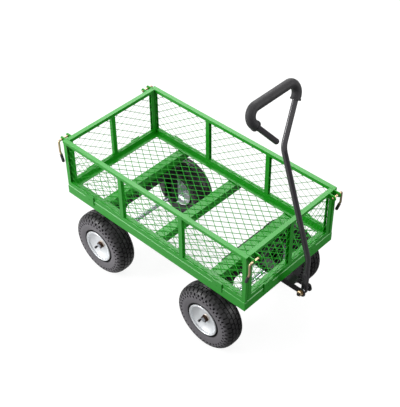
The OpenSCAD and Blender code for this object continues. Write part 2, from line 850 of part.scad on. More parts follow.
// Half of the tyre's section as [radius, distance from the middle], from the
// crown to the foot of the bead
function tyre_section(inset, foot_r) = concat(
    [for (k = tread_edges) [crown_r(k * (tyre_w / 2 - inset), inset), k * (tyre_w / 2 - inset)]],
    [for (k = [0 : 5]) let (r = tyre_mid - (tyre_mid - foot_r) * k / 5) [r, flank_y(r, inset)]]
);

function mirrored(outline) = [for (i = [len(outline) - 1 : -1 : 0]) [outline[i][0], -outline[i][1]]];

module wheel_at(end, side) {
    x = end > 0 ? front_axle_x : -rear_axle_x;
    placed() sided(side) translate([x, wheel_y, wheel_r]) children();
}

// The grooves between the tread blocks: two round the tyre, inside its shoulders,
// and one across it at each pitch, with radial walls
module tread_grooves() {
    edges = [for (k = tread_edges) if (k <= tread_end) k * tyre_w / 2];
    half = tyre_w / 2;
    end_y = tread_end * half;
    gap_angle = atan(tread_gap / wheel_r);
    floor_line = [for (y = edges) let (k = 1 - tread_depth / half) [crown_r(y * k, tread_depth), y * k]];
    cross_cut = concat(floor_line, [[crown_r(end_y) + 1, end_y + 2], [wheel_r + 2, end_y + 2]]);
    for (s = [-1, 1]) revolved([
        for (p = [[-1, -1], [1, -1], [1, 1], [-1, 1]]) [
            p[0] < 0 ? crown_r(edges[2]) - tread_depth : wheel_r + 2, s * edges[2] + p[1] * tread_gap / 2]
    ]);
    rotate([-90, 0, 0]) for (i = [0 : tread_n - 1])
        rotate([0, 0, i * 360 / tread_n - gap_angle / 2]) rotate_extrude(angle = gap_angle)
            polygon(concat(cross_cut, mirrored(cross_cut)));
}

module tyre(end, side) {
    seat = rim_d / 2;
    flange_y = rim_w / 2 - rim_t;
    outer = concat(tyre_section(0, seat + rim_lip), [[seat + rim_lip, flange_y], [seat, flange_y]]);
    inner = concat(tyre_section(tyre_wall, seat + rim_lip + 4), [[seat - 1, flange_y - bead_w]]);
    color(black) wheel_at(end, side) difference() {
        revolved(concat(outer, mirrored(outer)));
        revolved(concat(inner, mirrored(inner)));
        tread_grooves();
    }
}

// Distance outwards of the disc's face at a radius: a shallow dish
function dish(r) =
    hub_face + (disc_edge - hub_face) * pow(max(0, r - hub_d) / (rim_d / 2 - hub_d), 1.5);

// The rim: a rolled barrel with a curled flange at each side, one dished disc
// and a hub
module rim(end, side) {
    seat = rim_d / 2;
    half = rim_w / 2;
    well = seat - 7;
    outside = [
        [seat + rim_lip, half - rim_t], [seat, half - rim_t], [seat, 20], [well, 13],
        [well, -13], [seat, -20], [seat, rim_t - half], [seat + rim_lip, rim_t - half]
    ];
    inside = [
        [seat + rim_lip, -half], [seat - rim_t, -half], [seat - rim_t, -21], [well - rim_t, -14],
        [well - rim_t, 14], [seat - rim_t, 21], [seat - rim_t, half], [seat + rim_lip, half]
    ];
    radii = [hub_d / 2 - 1, hub_d, for (i = [1 : 5]) hub_d + (seat - rim_t + 1 - hub_d) * i / 5];
    disc = concat(
        [for (r = radii) [r, dish(r)]],
        [for (i = [len(radii) - 1 : -1 : 0]) [radii[i], dish(radii[i]) - rim_t]]
    );
    color(silver) wheel_at(end, side) difference() {
        union() {
            revolved(concat(outside, inside));
            for (s = [-1, 1]) translate([0, s * (half - rim_t + curl_r), 0]) rotate([-90, 0, 0])
                rotate_extrude() translate([seat + rim_lip - curl_r, 0]) circle(curl_r);
            revolved(disc);
            across(hub_in - wheel_y, hub_face, hub_d);
        }
        across(hub_in - wheel_y - 1, hub_face + 1, hub_d - 6);
        at_valve() across(hub_face - 10, hub_face + 10, valve_d);
    }
}

// The two bearing bushes pressed into the ends of the hub
module bearings(end, side) {
    bearing_l = 14;
    color(silver) wheel_at(end, side) for (y = [hub_in, hub_out - bearing_l])
        difference() {
            across(y - wheel_y, y - wheel_y + bearing_l, hub_d - 6);
            across(y - wheel_y - 1, y - wheel_y + bearing_l + 1, axle_d + 2 * fit);
        }
}

// Places a piece on the valve's axis
module at_valve() {
    rotate([0, -valve_angle, 0]) translate([valve_r, 0, 0]) children();
}

// The valve: a rubber base through the disc, a stem and a cap
module valve(end, side) {
    base_l = 3;
    cap_l = 9;
    edge = 1.5;
    tip = hub_face + valve_l;
    color(black) wheel_at(end, side) at_valve() revolved([
        [0, hub_face - 14], [valve_d / 2, hub_face - 14], [valve_d / 2, hub_face + base_l],
        [valve_stem_d / 2, hub_face + base_l + 1], [valve_stem_d / 2, tip - cap_l],
        [valve_cap_d / 2, tip - cap_l], [valve_cap_d / 2, tip - edge],
        [valve_cap_d / 2 - edge, tip], [0, tip]
    ]);
}

// ---------------------------------------------------------------- pieces

deck_rail(2);  // deck_rail_left
deck_rail(0);  // deck_rail_right
deck_rail(1);  // deck_rail_front
deck_rail(3);  // deck_rail_rear
floor_mesh();
cross_member_rear();
cross_member_middle();
cross_member_front();
panel_pockets();
long_panel_frame(2);  // left_panel_frame
panel_mesh(2, bed_l);  // left_panel_mesh
long_panel_frame(0);  // right_panel_frame
panel_mesh(0, bed_l);  // right_panel_mesh
end_panel_frame(1);  // front_panel_frame
panel_mesh(1, end_panel_l);  // front_panel_mesh
end_panel_frame(3);  // rear_panel_frame
panel_mesh(3, end_panel_l);  // rear_panel_mesh
rear_axle_carrier();
rear_axle();
rear_axle_nuts();
carrier_bolts();
turntable_plate();
thrust_washer();
kingpin();
steering_carrier();
tongue();
front_axle();
front_axle_nuts();
pivot_bolt();
pivot_nut();
handle_tube();
handle_bush();
handle_grip();
handle_end_cap();
latch_pin(1, 1);  // front_left_latch_pin
latch_sleeve(1, 1);  // front_left_latch_sleeve
latch_pin(1, -1);  // front_right_latch_pin
latch_sleeve(1, -1);  // front_right_latch_sleeve
latch_pin(-1, 1);  // rear_left_latch_pin
latch_sleeve(-1, 1);  // rear_left_latch_sleeve
latch_pin(-1, -1);  // rear_right_latch_pin
latch_sleeve(-1, -1);  // rear_right_latch_sleeve
tyre(1, 1);  // front_left_tyre
rim(1, 1);  // front_left_rim
bearings(1, 1);  // front_left_bearings
valve(1, 1);  // front_left_valve
tyre(1, -1);  // front_right_tyre
rim(1, -1);  // front_right_rim
bearings(1, -1);  // front_right_bearings
valve(1, -1);  // front_right_valve
tyre(-1, 1);  // rear_left_tyre
rim(-1, 1);  // rear_left_rim
bearings(-1, 1);  // rear_left_bearings
valve(-1, 1);  // rear_left_valve
tyre(-1, -1);  // rear_right_tyre
rim(-1, -1);  // rear_right_rim
bearings(-1, -1);  // rear_right_bearings
valve(-1, -1);  // rear_right_valve
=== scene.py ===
"""The looks of a steel garden cart: expanded-metal sheets with slanted strands, tyres with their
tread blocks, the closed inner walls of the panels' frames, and the finish of every surface.

It is laid out as an add-on and run as a script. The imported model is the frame, in metres, with +X
forwards, +Y to the left and +Z up. Every new piece takes its place from the frame's boxes."""

import json
from math import ceil, cos, pi, radians, sin

import bpy
import numpy as np
from mathutils import Matrix, Vector


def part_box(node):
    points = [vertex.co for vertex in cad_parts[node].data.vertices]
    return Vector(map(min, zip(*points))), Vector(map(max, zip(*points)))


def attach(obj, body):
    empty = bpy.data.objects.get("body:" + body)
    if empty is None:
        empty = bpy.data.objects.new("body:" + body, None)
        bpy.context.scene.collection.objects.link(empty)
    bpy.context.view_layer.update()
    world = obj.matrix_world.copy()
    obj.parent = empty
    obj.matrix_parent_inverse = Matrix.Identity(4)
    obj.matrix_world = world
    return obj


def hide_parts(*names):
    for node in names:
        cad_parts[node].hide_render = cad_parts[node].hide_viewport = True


bl_info = {
    "name": "Garden Cart Finish",
    "version": (1, 0, 0),
    "blender": (4, 5, 0),
    "location": "3D View > Sidebar > Garden Cart",
    "description": "Makes the sheets, tyres and finishes of a steel garden cart",
    "category": "Object",
}

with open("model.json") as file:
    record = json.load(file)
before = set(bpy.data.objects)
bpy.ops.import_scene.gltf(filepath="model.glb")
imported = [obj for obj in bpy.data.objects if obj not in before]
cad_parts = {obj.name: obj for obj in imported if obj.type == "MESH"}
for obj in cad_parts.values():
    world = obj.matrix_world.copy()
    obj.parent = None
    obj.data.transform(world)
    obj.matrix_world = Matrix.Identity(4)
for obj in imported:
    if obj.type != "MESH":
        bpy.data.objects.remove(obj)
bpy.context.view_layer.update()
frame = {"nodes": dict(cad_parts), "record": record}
NODES = frame["nodes"]
BODIES = frame["record"]["behaviour"]["bodies"]
BODY_OF = {node: body for body, nodes in BODIES.items() for node in nodes}
SLOT_OF = {part["node"]: part["material_slot"] for part in frame["record"]["subparts"]}
CORNERS = [(end, side) for end in ("front", "rear") for side in ("left", "right")]
PANELS = ("left", "right", "front", "rear")
DECK_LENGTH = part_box("deck_rail_left")[1][0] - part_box("deck_rail_left")[0][0]
MM = 0.001
AXLE_NUT_THICKNESS = 8 * MM
# two points of a mesh nearer than this are one, and a point this near a face lies on it
MERGE_DISTANCE = 0.01 * MM
ON_FACE = 0.05 * MM
# place and edge of each square lamp, in metres; their powers are in the studio's settings
LAMPS = {
    "key": ((-2.2, -2.7, 1.8), 1.7),
    "top": ((0.1, 0.0, 3.2), 2.4),
    "far": ((-2.15, 2.35, 3.2), 2.4),
    "front": ((2.5, 1.5, 1.5), 0.6),
}
# the way a sheet's length, width and thickness run in the cart, by the axis it is thin along
SHEET_AXES = {
    0: ((0, 1, 0), (0, 0, 1), (1, 0, 0)),
    1: ((1, 0, 0), (0, 0, 1), (0, -1, 0)),
    2: ((1, 0, 0), (0, 1, 0), (0, 0, 1)),
}
# the ten stations of one tread pitch, four for the walls of each of its two cross grooves and one
# after each: where they stand as a share of the pitch, on which side of the groove's middle, and
# which way the wall leans out there
STATION_PHASE = (0, 0, 0, 0, 0.25, 0.5, 0.5, 0.5, 0.5, 0.75)
STATION_SIDE = (-1, -1, 1, 1, 0, -1, -1, 1, 1, 0)
STATION_DRAFT = (-1, 0, 0, 1, 0, -1, 0, 0, 1, 0)


# ------------------------------------------------------------------ settings


class CartSheetSettings(bpy.types.PropertyGroup):
    """The expanded metal of the floor and the panels."""

    diamond_length: bpy.props.FloatProperty(
        name="Diamond length", description="Long way of one diamond", default=45 * MM, unit="LENGTH"
    )
    floor_diamond_width: bpy.props.FloatProperty(
        name="Floor diamond width", description="Short way of a floor diamond", default=31 * MM,
        unit="LENGTH",
    )
    panel_diamond_width: bpy.props.FloatProperty(
        name="Panel diamond width", description="Short way of a panel diamond", default=32 * MM,
        unit="LENGTH",
    )
    strand_width: bpy.props.FloatProperty(
        name="Strand width", description="Width of one strand of the slit sheet", default=2.4 * MM,
        unit="LENGTH",
    )
    strand_thickness: bpy.props.FloatProperty(
        name="Strand thickness", description="Thickness of the slit sheet", default=1.1 * MM,
        unit="LENGTH",
    )
    strand_tilt: bpy.props.FloatProperty(
        name="Strand tilt", description="Slant that the stretching gives each strand",
        default=radians(34), unit="ROTATION",
    )
    bond_length: bpy.props.FloatProperty(
        name="Bond length", description="Length over which two strands stay joined", default=3 * MM,
        unit="LENGTH",
    )
    setback: bpy.props.FloatProperty(
        name="Setback", description="From a panel's inner wall out to its sheet", default=6.4 * MM,
        unit="LENGTH",
    )
    lip_height: bpy.props.FloatProperty(
        name="Lip height", description="Height of the top rail's inner wall", default=12 * MM,
        unit="LENGTH",
    )
    bottom_height: bpy.props.FloatProperty(
        name="Bottom height", description="Height of the bottom rail's inner wall", default=16 * MM,
        unit="LENGTH",
    )
    post_width: bpy.props.FloatProperty(
        name="Post width", description="Width of a corner post's inner wall", default=14 * MM,
        unit="LENGTH",
    )
    upright_width: bpy.props.FloatProperty(
        name="Upright width", description="Width of an upright's inner wall", default=17 * MM,
        unit="LENGTH",
    )
    bottom_lap: bpy.props.FloatProperty(
        name="Bottom lap", description="Height of the sheet behind the bottom wall", default=2 * MM,
        unit="LENGTH",
    )
    wall_rounding: bpy.props.FloatProperty(
        name="Wall rounding", description="Edge radius of the inner walls", default=0.4 * MM,
        unit="LENGTH",
    )


class CartTyreSettings(bpy.types.PropertyGroup):
    """The section and the tread of a tyre. Rows are numbered out from the middle of the crown, and
    lengths across the tread run along its surface from there."""

    block_pitches: bpy.props.IntProperty(
        name="Tread pitches", description="Tread blocks in one row round the tyre", default=38,
        min=12,
    )
    row_starts: bpy.props.FloatVectorProperty(
        name="Row starts", description="Where each row's cross grooves start", size=5,
        default=(0, 9 * MM, 23.3 * MM, 40.5 * MM, 53 * MM), unit="LENGTH",
    )
    row_ends: bpy.props.FloatVectorProperty(
        name="Row ends", description="Where each row's cross grooves end", size=5,
        default=(6 * MM, 20.3 * MM, 37.5 * MM, 51 * MM, 61 * MM), unit="LENGTH",
    )
    row_depths: bpy.props.FloatVectorProperty(
        name="Row depths", description="Depth of each row's cross grooves", size=5,
        default=(3 * MM, 4 * MM, 4.5 * MM, 5.5 * MM, 5 * MM), unit="LENGTH",
    )
    row_grooves: bpy.props.FloatVectorProperty(
        name="Row grooves", description="Width of each row's cross grooves", size=5,
        default=(1.8 * MM, 3 * MM, 3.8 * MM, 6 * MM, 6 * MM), unit="LENGTH",
    )
    ring_depth: bpy.props.FloatProperty(
        name="Ring depth", description="Depth of the two ring grooves a side", default=3.5 * MM,
        unit="LENGTH",
    )
    wall: bpy.props.FloatProperty(
        name="Groove draft", description="Width that each groove wall leans over", default=0.7 * MM,
        unit="LENGTH",
    )
    squareness: bpy.props.FloatProperty(
        name="Squareness", description="Exponent of the crown's rounded square", default=2.7, min=2
    )
    flange_height: bpy.props.FloatProperty(
        name="Flange height", description="Height of the rim's flange over the bead seat",
        default=6 * MM, unit="LENGTH",
    )
    flange_setback: bpy.props.FloatProperty(
        name="Flange setback", description="From the tyre's side in to the flange",
        default=5.5 * MM, unit="LENGTH",
    )
    flank_fall: bpy.props.FloatProperty(
        name="Flank fall", description="How far the flank falls in at the groove beside the rim",
        default=4 * MM, unit="LENGTH",
    )
    rim_groove_width: bpy.props.FloatProperty(
        name="Rim groove width", description="Width of the groove beside the rim's lip",
        default=7.5 * MM, unit="LENGTH",
    )
    rim_groove_depth: bpy.props.FloatProperty(
        name="Rim groove depth", description="Depth of the groove beside the rim's lip",
        default=6.5 * MM, unit="LENGTH",
    )
    bead_width: bpy.props.FloatProperty(
        name="Bead width", description="Width of the bead on its seat", default=10 * MM,
        unit="LENGTH",
    )
    bloom_radius: bpy.props.FloatProperty(
        name="Bloom radius", description="Radius where the bloom starts to thin", default=100 * MM,
        unit="LENGTH",
    )
    bloom_reach: bpy.props.FloatProperty(
        name="Bloom reach", description="Radius where the bloom is thinnest", default=122 * MM,
        unit="LENGTH",
    )
    bloom_edge: bpy.props.FloatProperty(
        name="Bloom edge", description="Half the width of the bloom's edge at the rim",
        default=0.6 * MM, unit="LENGTH",
    )
    # painted shade: the tread's blocks lose their grey towards the crown, partly for wear and
    # partly for the deck's shade on the crown
    tread_wear_and_painted_shade: bpy.props.FloatProperty(
        name="Bloom loss", description="Share of the bloom that the tread has lost", default=0.9,
        subtype="FACTOR", max=1,
    )
    # painted shade: the side that faces the axle keeps only this share of the grey, for the shade
    # it lies in under the deck
    inner_bloom_painted_shade: bpy.props.FloatProperty(
        name="Inner bloom", description="Share of the bloom on the side that faces the axle",
        default=0.25, subtype="FACTOR", max=1,
    )


class CartPaintSettings(bpy.types.PropertyGroup):
    """The colours of the finishes, as sRGB hex."""

    powder_coat: bpy.props.StringProperty(
        name="Powder coat", description="Green of the bed", default="#12a012",
    )
    frame_paint: bpy.props.StringProperty(
        name="Frame paint", description="Black of the axle carriers", default="#19191b"
    )
    handle_paint: bpy.props.StringProperty(
        name="Handle paint", description="Grey of the handle", default="#454347",
    )
    rubber: bpy.props.StringProperty(
        name="Rubber", description="Black of clean rubber, in the grooves", default="#101011",
    )
    rubber_bloom: bpy.props.StringProperty(
        name="Rubber bloom", description="Grey of the waxy bloom on the tyres' flanks",
        default="#767378",
    )
    rim_paint: bpy.props.StringProperty(
        name="Rim paint", description="Silver of the rims", default="#f3f6f9",
    )
    zinc: bpy.props.StringProperty(
        name="Yellow zinc", description="Passivated zinc of the fasteners", default="#c8b48c"
    )


class CartStudioSettings(bpy.types.PropertyGroup):
    """The camera and the lamps."""

    lens: bpy.props.FloatProperty(
        name="Lens", description="Focal length on a 36 mm sensor", default=85.07,
    )
    azimuth: bpy.props.FloatProperty(
        name="Azimuth", description="Heading of the view, from looking along +Y",
        default=radians(43.885), unit="ROTATION",
    )
    elevation: bpy.props.FloatProperty(
        name="Elevation", description="Height of the camera above the horizon",
        default=radians(41.835), unit="ROTATION",
    )
    roll: bpy.props.FloatProperty(
        name="Roll", description="Turn of the camera about its own axis", default=radians(-0.695),
        unit="ROTATION",
    )
    distance: bpy.props.FloatProperty(
        name="Distance", description="From the camera to the point it looks at", default=3.3636,
        unit="LENGTH",
    )
    aim: bpy.props.FloatVectorProperty(
        name="Aim", description="Point that the camera looks at",
        default=(0.01125, -0.0208, 0.37454), subtype="TRANSLATION",
    )
    key_power: bpy.props.FloatProperty(
        name="Key", description="Power of the key softbox", default=100.0, unit="POWER",
    )
    top_power: bpy.props.FloatProperty(
        name="Top", description="Power of the overhead softbox", default=24.0, unit="POWER",
    )
    far_power: bpy.props.FloatProperty(
        name="Far", description="Power of the far softbox", default=84.0, unit="POWER",
    )
    front_power: bpy.props.FloatProperty(
        name="Front", description="Power of the small front softbox", default=20.0, unit="POWER"
    )
    ambient: bpy.props.FloatProperty(
        name="Ambient", description="Strength of the room's fill", default=0.24,
    )
    floor_colour: bpy.props.FloatProperty(
        name="Floor", description="Reflectance of the floor", default=0.25,
    )
    near_glow: bpy.props.FloatProperty(
        name="Near glow", description="Glow of the floor under the cart", default=0.88
    )
    glow_start: bpy.props.FloatProperty(
        name="Glow start", description="Distance where the glow starts to rise to white",
        default=0.9, unit="LENGTH",
    )
    glow_end: bpy.props.FloatProperty(
        name="Glow end", description="Distance where the glow is white", default=2.5, unit="LENGTH"
    )
    # painted reflection: the glow of the floor's card, seen only in gloss
    painted_reflection_strength: bpy.props.FloatProperty(
        name="Card", description="Brightness of the card that gloss sees on the key lamp's side",
        default=0.75,
    )


# ------------------------------------------------------------------ meshes


def make_piece(name, points, faces, like, smooth=True, sharp_angle=None, **attributes):
    """A mesh piece that rides with the CAD node `like` and takes its material slot. Each attribute
    is a number for every point."""
    mesh = bpy.data.meshes.new(name)
    mesh.from_pydata(points.tolist(), [], np.asarray(faces).tolist())
    mesh.validate()
    mesh.polygons.foreach_set("use_smooth", [smooth] * len(mesh.polygons))
    piece = bpy.data.objects.new(name, mesh)
    bpy.context.scene.collection.objects.link(piece)
    if sharp_angle is not None:
        mesh.set_sharp_from_angle(angle=sharp_angle)
    for attribute, values in attributes.items():
        layer = mesh.attributes.new(attribute, "FLOAT", "POINT")
        layer.data.foreach_set("value", np.ravel(values))
    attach(piece, BODY_OF[like])
    mesh.materials.append(NODES[like].data.materials[0])
    return piece


def grid_faces(rows, columns, loop_rows=False, loop_columns=False, start=0):
    """Quads over a grid of points numbered row by row, closed along the directions that loop."""
    i = np.arange(rows if loop_rows else rows - 1)[:, None]
    j = np.arange(columns if loop_columns else columns - 1)[None, :]
    i2, j2 = (i + 1) % rows, (j + 1) % columns
    ring = (i * columns + j, i2 * columns + j, i2 * columns + j2, i * columns + j2)
    return start + np.stack(np.broadcast_arrays(*ring), -1).reshape(-1, 4)


def smoothstep(low, high, x):
    """0 below low, 1 above high, and a smooth cubic between."""
    t = np.clip((x - low) / (high - low), 0, 1)
    return t * t * (3 - 2 * t)


def node_box(name):
    """A CAD node's lowest corner, highest corner and middle, as arrays."""
    low, high = (np.array(corner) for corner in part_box(name))
    return low, high, (low + high) / 2


# ------------------------------------------------------------------ materials


def linear(hex_colour):
    """An sRGB hex value as a linear RGBA colour."""
    channels = [int(hex_colour[i : i + 2], 16) / 255 for i in (1, 3, 5)]
    return [c / 12.92 if c <= 0.04045 else ((c + 0.055) / 1.055) ** 2.4 for c in channels] + [1]


def shaded(hex_colour, factor):
    """A hex colour made darker or lighter in linear light."""
    return [min(1, c * factor) for c in linear(hex_colour)[:3]] + [1]


def add_node(material, kind, inputs=(), **settings):
    """Adds a shader node with its settings; each input is a value or the socket that feeds it."""
    node = material.node_tree.nodes.new(kind)
    for name, value in settings.items():
        setattr(node, name, value)
    for name, value in dict(inputs).items():
        if isinstance(value, bpy.types.NodeSocket):
            material.node_tree.links.new(value, node.inputs[name])
        else:
            node.inputs[name].default_value = value
    return node


def empty_tree(block):
    """Turns on the nodes of a material or world and clears them."""
    block.use_nodes = True
    block.node_tree.nodes.clear()
    return block


def finish(
    name, colours, cloud_mm, roughness, grain_mm, grain_depth_mm, cells=False, patch=None, **shader
):
    """A material whose two colours and two roughnesses cloud into each other over cloud_mm, under a
    grain of grain_mm that stands grain_depth_mm high. `patch` adds a third colour: a pair of that
    colour and of a function that builds the factor it is mixed in by."""
    material = empty_tree(bpy.data.materials.new(name))
    place = add_node(material, "ShaderNodeTexCoord").outputs["Object"]
    cloud = add_node(
        material, "ShaderNodeTexNoise",
        {"Vector": place, "Scale": 1 / (cloud_mm * MM), "Detail": 3.0},
    ).outputs["Fac"]
    colour = add_node(material, "ShaderNodeMix", {"Factor": cloud}, data_type="RGBA")
    colour.inputs[6].default_value, colour.inputs[7].default_value = colours
    colour = colour.outputs[2]
    if patch:
        patch_colour, build_factor = patch
        factor = build_factor(material, place)
        over = add_node(material, "ShaderNodeMix", {"Factor": factor}, data_type="RGBA")
        material.node_tree.links.new(colour, over.inputs[6])
        over.inputs[7].default_value = patch_colour
        colour = over.outputs[2]
    # the middle of the noise, where nearly all of its values lie, spans both roughnesses
    spread = {"From Min": 0.3, "From Max": 0.7, "To Min": roughness[0], "To Max": roughness[1]}
    rough = add_node(
        material, "ShaderNodeMapRange", {"Value": cloud, **spread}
    ).outputs["Result"]
    grains = {"Vector": place, "Scale": 1 / (grain_mm * MM)}
    if cells:
        grain = add_node(
            material, "ShaderNodeTexVoronoi", grains, feature="SMOOTH_F1"
        ).outputs["Distance"]
    else:
        grain = add_node(
            material, "ShaderNodeTexNoise", {**grains, "Detail": 2.0}
        ).outputs["Fac"]
    normal = add_node(
        material, "ShaderNodeBump", {"Height": grain, "Distance": grain_depth_mm * MM}
    ).outputs["Normal"]
    inputs = {"Base Color": colour, "Roughness": rough, "Normal": normal}
    inputs.update({socket.replace("_", " "): value for socket, value in shader.items()})
    principled = add_node(material, "ShaderNodeBsdfPrincipled", inputs)
    add_node(material, "ShaderNodeOutputMaterial", {"Surface": principled.outputs["BSDF"]})
    return material


def on_attribute(attribute):
    """A factor read from an attribute of the piece's own mesh."""
    return lambda material, place: add_node(
        material, "ShaderNodeAttribute", attribute_name=attribute
    ).outputs["Fac"]


def beyond(distance, axis="Y"):
    """A factor that turns from 0 to 1 where the distance from the middle plane passes a value."""

    def build(material, place):
        along = add_node(material, "ShaderNodeSeparateXYZ", {"Vector": place}).outputs[axis]
        out = add_node(material, "ShaderNodeMath", {0: along}, operation="ABSOLUTE").outputs[0]
        return add_node(
            material, "ShaderNodeMath", {0: out, 1: distance}, operation="GREATER_THAN"
        ).outputs[0]

    return build


def make_materials(paints):
    """One material for each of the record's slots, named for what it is and how it was made."""
    green, black, grey = paints.powder_coat, paints.frame_paint, paints.handle_paint
    nut_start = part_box("rear_axle_nuts")[1][1] - AXLE_NUT_THICKNESS
    return {
        # baked polyester powder: an even colour under a half gloss, with the shallow orange peel,
        # 1 to 2 mm from crest to crest, that the powder leaves as it flows
        "green_powder_coat": finish(
            "baked_green_powder_coat", (shaded(green, 0.94), shaded(green, 1.06)), cloud_mm=90,
            roughness=(0.33, 0.4), grain_mm=1.8, grain_depth_mm=0.05, IOR=1.5,
        ),
        "black_frame_paint": finish(
            "baked_black_powder_coat", (shaded(black, 0.9), shaded(black, 1.12)), cloud_mm=60,
            roughness=(0.36, 0.48), grain_mm=1.6, grain_depth_mm=0.06, IOR=1.5,
            Specular_IOR_Level=0.3,
        ),
        # the same powder in grey on the drawn handle tube, glossier because the tube was polished
        "grey_handle_paint": finish(
            "baked_grey_powder_coat", (shaded(grey, 0.92), shaded(grey, 1.08)), cloud_mm=50,
            roughness=(0.12, 0.2), grain_mm=1.5, grain_depth_mm=0.02, IOR=1.5,
        ),
        # silver enamel sprayed over the pressed rim: its fine aluminium flake shines like a dull
        # metal
        "silver_rim": finish(
            "silver_rim_enamel", (linear(paints.rim_paint), shaded(paints.rim_paint, 0.95)),
            cloud_mm=40, roughness=(0.28, 0.36), grain_mm=1.2, grain_depth_mm=0.02, IOR=1.5,
            Metallic=0.45,
        ),
        # zinc passivated yellow: a bright metal under a thin film that clouds and shifts in hue
        "yellow_zinc": finish(
            "yellow_zinc_plate", (linear(paints.zinc), linear("#b09880")), cloud_mm=7,
            roughness=(0.2, 0.34), grain_mm=0.9, grain_depth_mm=0.02, Metallic=1.0,
        ),
        # the wheels' washers are plated pale; the nuts outside them are coloured dark brown, a
        # painted dark reflection of the shade that their facets mirror
        "axle_nuts": finish(
            "waxed_nut_on_pale_washer", (linear("#d8c8bc"), linear("#c2b2a2")), cloud_mm=6,
            roughness=(0.22, 0.34), grain_mm=0.9, grain_depth_mm=0.02,
            patch=(linear("#3a2a20"), beyond(nut_start)), Metallic=1.0,
        ),
        "bright_steel": finish(
            "clear_zinc_plate", (linear("#b9bbbe"), linear("#a7acb8")), cloud_mm=6,
            roughness=(0.22, 0.34), grain_mm=0.9, grain_depth_mm=0.02, Metallic=1.0,
        ),
        # carbon-black rubber from a steel mould: dull, sandblast-grained, with a pale bloom of wax
        # on its flanks, whose mask also paints shade: it leaves the grooves, the crown and the
        # inner side dark; the grain is drawn about 1 mm across, so that it shows
        "tyre_rubber": finish(
            "moulded_tyre_rubber", (shaded(paints.rubber, 0.9), shaded(paints.rubber, 1.15)),
            cloud_mm=30, roughness=(0.34, 0.44), grain_mm=1.2, grain_depth_mm=0.08,
            # the grey is laid by a mask that is partly bloom and partly painted shade
            patch=(linear(paints.rubber_bloom), on_attribute("bloom")), IOR=1.5,
            Specular_IOR_Level=0.35,
        ),
        # closed-cell nitrile foam: soft black with a pebbled skin of cells about 1 mm across
        "grip_foam": finish(
            "nitrile_foam", (linear("#1a191b"), linear("#232225")), cloud_mm=20,
            roughness=(0.55, 0.66), grain_mm=1.1, grain_depth_mm=0.15, cells=True, IOR=1.48,
            Sheen_Weight=0.08,
        ),
        # dipped vinyl: a soft black skin with a low gloss
        "black_plastic": finish(
            "dipped_vinyl", (linear("#121213"), linear("#1b1b1d")), cloud_mm=15,
            roughness=(0.34, 0.44), grain_mm=0.8, grain_depth_mm=0.03, IOR=1.52,
        ),
    }


def weigh_fold(node):
    """Marks the edges along a deck rail's outer top corner, which the brake press folded round:
    both ends stand at the rail's top and at its outermost reach from the cart's middle."""
    low, high, _ = node_box(node.name)
    mesh = node.data
    points = np.empty(3 * len(mesh.vertices))
    mesh.vertices.foreach_get("co", points)
    points = points.reshape(-1, 3)
    across = 0 if high[1] - low[1] > high[0] - low[0] else 1
    reach = max(abs(low[across]), abs(high[across]))
    at_top = points[:, 2] > high[2] - ON_FACE
    corner = at_top & (np.abs(points[:, across]) > reach - ON_FACE)
    ends = np.empty(2 * len(mesh.edges), np.int32)
    mesh.edges.foreach_get("vertices", ends)
    weights = mesh.attributes.new("bevel_weight_edge", "FLOAT", "EDGE")
    weights.data.foreach_set("value", corner[ends.reshape(-1, 2)].all(1).astype(np.float32))


def add_bevel(node, name, width, segments, limit):
    """A bevel that keeps the flat faces beside it flat in their shading."""
    bevel = node.modifiers.new(name, "BEVEL")
    bevel.width, bevel.segments, bevel.limit_method = width, segments, limit
    bevel.harden_normals = True
    return bevel


class CART_OT_finishes(bpy.types.Operator):
    """Gives every CAD node its finish, and rounds the edges of the folded steel"""

    bl_idname = "cart.finishes"
    bl_label = "Finishes"

    edge_radius: bpy.props.FloatProperty(
        name="Edge radius", description="Rounding that the coat gives to each steel edge",
        default=0.5 * MM, unit="LENGTH",
    )
    edge_angle: bpy.props.FloatProperty(
        name="Edge angle", description="Turn between two faces that makes an edge",
        default=radians(40), unit="ROTATION",
    )
    fold_radius: bpy.props.FloatProperty(
        name="Fold radius", description="Outer radius of the fold along the deck's top edge",
        default=2.6 * MM, unit="LENGTH",
    )

    def execute(self, context):
        materials = make_materials(context.scene.cart_paint)
        folded_steel = ("green_powder_coat", "black_frame_paint")
        for name, node in NODES.items():
            slot = SLOT_OF[name]
            node.data.materials.clear()
            kind = "axle_nuts" if name.endswith("axle_nuts") else slot
            node.data.materials.append(materials[kind])
            if slot in folded_steel and not name.endswith("mesh"):
                merge = node.modifiers.new("merge", "WELD")
                merge.merge_threshold = MERGE_DISTANCE
                if name.startswith("deck_rail"):
                    weigh_fold(node)
                    add_bevel(node, "fold", self.fold_radius, 1, "WEIGHT")
                edges = add_bevel(node, "edges", self.edge_radius, 2, "ANGLE")
                edges.angle_limit = self.edge_angle
        return {"FINISHED"}


# ------------------------------------------------------------------ expanded metal


def strand_line(along, row, length, width, strand, bond):
    """Height across the sheet of a strand's middle line: a triangle wave of one diamond's length,
    flattened over each bond, that touches the strand below and the strand above in turn."""
    phase = (along / length + (row % 2) / 2) % 1
    wave = 1 - np.abs(2 * phase - 1) * 2
    reach = 1 - 2 * bond / length
    return row * width / 2 + (width / 4 - strand / 2) * np.clip(wave / reach, -1, 1)


